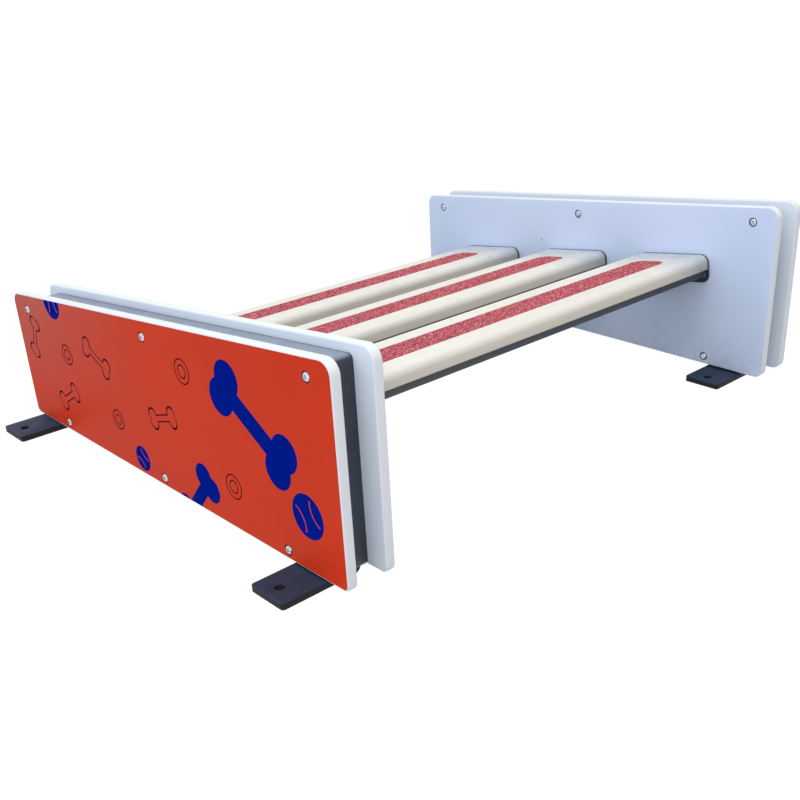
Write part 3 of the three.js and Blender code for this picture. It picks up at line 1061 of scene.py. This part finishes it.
# A tree with Geometry, the named numbers and Material as inputs; build makes geometry of them
def geometryTree(name, numbers, build, **others):
    tree = bpy.data.node_groups.new(name, "GeometryNodeTree")
    kinds = {"Geometry": "Geometry", **dict.fromkeys(numbers, "Float"), **others}
    addSockets(tree, "INPUT", {**kinds, "Material": "Material"})
    addSockets(tree, "OUTPUT", {"Geometry": "Geometry"})
    said = addNode("NodeGroupInput", tree=tree)
    real = addNode("GeometryNodeRealizeInstances", {0: build(said)})[0]
    values = {"Geometry": real, "Material": said["Material"]}
    addNode("NodeGroupOutput", {0: addNode("GeometryNodeSetMaterial", values)[0]})
    return tree


def joinGeometry(first, second):
    both = addNode("GeometryNodeJoinGeometry", {0: first})[0]
    feed(both.node, {0: second})
    return both


def instances(points, instance, **values):
    values.update(Points=points, Instance=instance)
    return addNode("GeometryNodeInstanceOnPoints", values)[0]


def randomTurn(tree, low, high, seed):
    values = {0: low, 1: high, "Seed": seed}
    return addNode("FunctionNodeRandomValue", values, tree, data_type="FLOAT_VECTOR")[0]


# Runs a node tree on an object and leaves its plain mesh
def grow(piece, tree, values):
    change = piece.modifiers.new("grow", "NODES")
    change.node_group = tree
    for item in tree.interface.items_tree:
        if item.in_out == "INPUT" and item.name in values:
            change[item.identifier] = values[item.name]
    settle(piece, 60)


# Granules scattered over the strip's top and sunk into its base; density is per square metre
granules = {
    "Density": 90000.0, "Spacing": 0.0021, "Smallest": 0.0010, "Largest": 0.0021,
    "Flatness": 0.5,
}
firstSeed = 11


def makeGranules(said):
    tree = said[0].id_data
    normal = addNode("GeometryNodeInputNormal", tree=tree)[0]
    settings = dict(data_type="FLOAT", operation="GREATER_THAN")
    top = addNode("FunctionNodeCompare", {0: split(normal)[2], 1: 0.9}, **settings)[0]
    scatter = addNode("GeometryNodeDistributePointsOnFaces", {
        "Mesh": said["Geometry"], "Selection": top, "Distance Min": said["Spacing"],
        "Density Max": said["Density"], "Seed": said["Seed"],
    }, distribute_method="POISSON")
    values = {2: said["Smallest"], 3: said["Largest"], "Seed": said["Seed"]}
    radius = addNode("FunctionNodeRandomValue", values, data_type="FLOAT")[1]
    flat = times(radius, said["Flatness"])
    scale = addNode("ShaderNodeCombineXYZ", {0: radius, 1: radius, 2: flat})[0]
    turn = randomTurn(tree, (-0.35, -0.35, 0), (0.35, 0.35, 6.28), 4)
    grit = addNode("GeometryNodeMeshIcoSphere", {"Radius": 1.0, "Subdivisions": 1}, tree)[0]
    placed = instances(scatter["Points"], grit, Rotation=turn, Scale=scale)
    tone = addNode("FunctionNodeRandomValue", {"Seed": 9}, tree, data_type="FLOAT")[1]
    parts = []
    for geometry, value, domain in (
        (placed, tone, "INSTANCE"), (said["Geometry"], granulate["base"], "POINT"),
    ):
        values = {"Geometry": geometry, "Name": "tone", "Value": value}
        settings = dict(data_type="FLOAT", domain=domain)
        parts.append(addNode("GeometryNodeStoreNamedAttribute", values, **settings)[0])
    return joinGeometry(*parts)


granuleTree = geometryTree("granules", granules, makeGranules, Seed="Int")


def makeStrip(name, seed):
    node = f"grip_strip_{name}"
    bottom = strip["grooveGap"] - strip["grooveDepth"]
    sizes = (stripOutline(-strip["inset"]), bottom, strip["baseTop"])
    piece = newSlab(f"granulate_{name}", granulateFinish, *sizes, matrix=lying)
    grow(piece, granuleTree, {**granules, "Seed": seed, "Material": granulateFinish})
    piece.data.transform(deckMatrix(name))
    print("granules:", name, len(piece.data.polygons), "faces")
    keep(piece, "red_granulate", node)


# Folded rail with its welded end plates
rail = dict(
    width=0.164, depth=0.0155, sheet=0.005, bend=0.007, gap=0.0003, plate=0.005, edge=0.001,
    endGap=0.001,
)
endPlate = dict(proud=0.0004, below=0.0305, corner=0.0194, edge=0.0008, screwRise=0.0055)
railTop = -plank["thick"] - rail["gap"]
railSide = rail["width"] / 2
railInner = railSide - rail["sheet"]
railUnder = railTop - rail["sheet"]


def railOutline():
    edge = rail["edge"]
    bottom = railTop - rail["depth"]
    return roundedOutline([
        (-railSide, bottom, edge), (-railInner, bottom, edge), (-railInner, railUnder, 2 * edge),
        (railInner, railUnder, 2 * edge), (railInner, bottom, edge), (railSide, bottom, edge),
        (railSide, railTop, rail["bend"]), (-railSide, railTop, rail["bend"]),
    ], 5)


def makeRail(name):
    reach = span / 2
    end = reach - rail["endGap"]
    solids = [slabMesh("channel", railOutline(), -end, end)]
    proud, corner = endPlate["proud"], endPlate["corner"]
    x = plank["width"] / 2 + proud
    low = (-x, -plank["thick"] - endPlate["below"])
    radii = (corner, corner, corner, plank["lowRadius"] + proud)
    outline = boxOutline(low, (x, proud), radii, 10)
    for start in (-reach, reach - rail["plate"]):
        end = start + rail["plate"]
        solids.append(slabMesh("endPlate", outline, start, end, endPlate["edge"], 2))
    joined = joinedMesh("channel", [(solid, deckMatrix(name)) for solid in solids])
    piece = newObject(f"channel_{name}", joined, railFinish)
    keep(piece, "grey_steel", f"rail_{name}")


# A weld bead is a row of small overlapping drops along a path
weld = {"Pitch": 0.0022, "Radius": 0.0026}


def makeBead(said):
    path = addNode("GeometryNodeMeshToCurve", {0: said["Geometry"]})[0]
    values = {"Curve": path, "Length": said["Pitch"]}
    spaced = addNode("GeometryNodeResampleCurve", values, mode="LENGTH")[0]
    values = {"Radius": said["Radius"], "Subdivisions": 2}
    return instances(spaced, addNode("GeometryNodeMeshIcoSphere", values)[0])


def makeWelds():
    bottom = railTop - rail["depth"] + rail["edge"]
    paths = [[
        (-railInner, bottom), (-railInner, railUnder), (railInner, railUnder), (railInner, bottom),
    ]]
    paths += [[(x, bottom), (x, railTop - rail["bend"])] for x in (-railSide, railSide)]
    mesh = bmesh.new()
    for name in boardX:
        for side in (-1, 1):
            y = side * (span / 2 - rail["plate"])
            for path in paths:
                places = [deckMatrix(name) @ Vector((x, y, z)) for x, z in path]
                verts = [mesh.verts.new(place) for place in places]
                for pair in zip(verts, verts[1:]):
                    mesh.edges.new(pair)
    piece = newObject("welds", meshData("weldPaths", mesh), weldFinish)
    grow(piece, geometryTree("weldBead", weld, makeBead), {**weld, "Material": weldFinish})
    keep(piece, "grey_steel")


# Washer head screws that hold each plank to its rail, seen from below
coach = dict(across=(-0.045, 0.045), along=(-0.48, -0.16, 0.16, 0.48), edge=0.0004)
coachSizes = {
    "Washer radius": 0.009, "Washer height": 0.0016, "Head radius": 0.0065, "Head height": 0.005,
}


def makeScrews(said):
    values = {"Vertices": 28, "Radius": said["Washer radius"], "Depth": said["Washer height"]}
    washer = addNode("GeometryNodeMeshCylinder", values)[0]
    values = {"Vertices": 6, "Radius": said["Head radius"], "Depth": said["Head height"]}
    head = addNode("GeometryNodeMeshCylinder", values)[0]
    drop = addNode("ShaderNodeCombineXYZ", {2: times(said["Head height"], -0.5)})[0]
    moved = addNode("GeometryNodeTransform", {"Geometry": head, "Translation": drop})[0]
    turn = randomTurn(said[0].id_data, (0, 0, 0), (0, 0, 1), 3)
    return instances(said["Geometry"], joinGeometry(washer, moved), Rotation=turn)


screwTree = geometryTree("railScrews", coachSizes, makeScrews)


def makeRailScrews(name):
    mesh = bmesh.new()
    z = railUnder - coachSizes["Washer height"] / 2
    for x in coach["across"]:
        for y in coach["along"]:
            mesh.verts.new((x, y, z))
    piece = newObject(f"railScrews_{name}", meshData("screwPlaces", mesh), steelFinish)
    grow(piece, screwTree, {**coachSizes, "Material": steelFinish})
    soften(piece, coach["edge"], 1, 30)
    piece.data.transform(deckMatrix(name))
    keep(piece, "bright_steel")


def plateScrews():
    for name in boardX:
        for end, side in outward.items():
            kind = f"plate_screw_{name}_{end}"
            seat = spanMiddle + side * (span / 2 - rail["plate"])
            for number in (1, 2):
                yield kind, number, plateScrew, seat, endPlate["screwRise"], -side


for number, name in enumerate(boardX):
    makeBoard(name)
    makeStrip(name, firstSeed + number)
    makeRail(name)
    makeRailScrews(name)
makeWelds()
makeFasteners("plateScrews", plateScrews())
print("boards made")


# Floor, light and camera

# 1 where the camera sees something, in a mirror or through glass too
def seenDirectly(tree):
    sight = addNode("ShaderNodeLightPath", tree=tree)
    seen = larger(sight["Is Camera Ray"], sight["Is Glossy Ray"])
    return larger(seen, sight["Is Transmission Ray"])


floorLook = dict(
    half=60, z=-0.0002,  # just under the feet, so that their undersides stay clear of it
    tone=0.42, rough=0.9, glow=1.35, glowShare=0.72,
)


# A floor that glows to near white for the camera and can't be seen from below
def makeFloor():
    mesh = bpy.data.meshes.new("floor")
    half, z = floorLook["half"], floorLook["z"]
    corners = [(-half, -half, z), (half, -half, z), (half, half, z), (-half, half, z)]
    mesh.from_pydata(corners, [], [(0, 1, 2, 3)])
    material, shader, _ = newMaterial("floorPaint")
    tree = material.node_tree
    tone = (floorLook["tone"],) * 3
    feed(shader, {"Base Color": (*tone, 1), "Roughness": floorLook["rough"]})
    values = {"Color": (1, 1, 1, 1), "Strength": floorLook["glow"]}
    glow = addNode("ShaderNodeEmission", values, tree)[0]
    share = times(seenDirectly(tree), floorLook["glowShare"])
    values = {0: share, 1: shader.outputs[0], 2: glow}
    mixed = addNode("ShaderNodeMixShader", values)[0]
    behind = addNode("ShaderNodeNewGeometry", tree=tree)["Backfacing"]
    clear = addNode("ShaderNodeBsdfTransparent", tree=tree)[0]
    oneSided = addNode("ShaderNodeMixShader", {0: behind, 1: mixed, 2: clear})[0]
    feed(tree.nodes["Material Output"], {"Surface": oneSided})
    floor = newObject("floor", mesh, material)
    floor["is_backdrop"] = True


studio = dict(
    sky=(0.88, 0.93, 1.0), world=0.8, aim=(0, 0, 0.2),
    lamps=[
        ("keyLamp", 50.0, 3.0, (0.7, -0.7, 3.6), (1, 1, 1)),
        ("coolLamp", 14.5, 3.5, (-1.8, -3.0, 2.0), (0.6, 0.79, 1)),
        ("warmLamp", 9.0, 1.6, (1.9, -2.1, 0.8), (1, 0.985, 0.95)),
    ],  # name, watts, size, place, colour
)


def makeLight():
    world = bpy.data.worlds.new("studio")
    bpy.context.scene.world = world
    world.use_nodes = True
    tree = world.node_tree
    sky = (*(value * studio["world"] for value in studio["sky"]), 1)
    colour = blend(seenDirectly(tree), sky, (1, 1, 1, 1))
    feed(tree.nodes["Background"], {"Color": colour})
    for name, power, width, place, tone in studio["lamps"]:
        lamp = bpy.data.lights.new(name, "AREA")
        lamp.energy = power
        lamp.size = width
        lamp.color = tone
        holder = placeObject(name, lamp)
        holder.location = place
        aim = Vector(studio["aim"]) - Vector(place)
        holder.rotation_euler = aim.to_track_quat("-Z", "Y").to_euler()


# Placed by the camera fitted to the photograph; lens, turn and shift come from the same fit
view = dict(
    place=(1.6552, -1.4479, 0.9154), yaw=46.38, pitch=26.54, roll=-1.85,
    lens=47.03, sensor=36, shiftX=-0.0616, shiftY=0.0884,
)


def makeCamera():
    lens = bpy.data.cameras.new("camera")
    lens.lens = view["lens"]
    lens.sensor_width = view["sensor"]
    lens.shift_x = view["shiftX"]
    lens.shift_y = view["shiftY"]
    place = Matrix.Translation(view["place"])
    for angle, axis in ((view["yaw"], "Z"), (90 - view["pitch"], "X"), (view["roll"], "Z")):
        place @= Matrix.Rotation(radians(angle), 4, axis)
    camera = placeObject("camera", lens)
    camera.matrix_world = place
    bpy.context.scene.camera = camera


makeFloor()
makeLight()
makeCamera()
bpy.context.scene.view_settings.view_transform = "Standard"

boxes = {"cad": cadBox, "visual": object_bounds()}
plain = {name: [[float(value) for value in corner] for corner in box] for name, box in boxes.items()}
print("sizes:", plain)
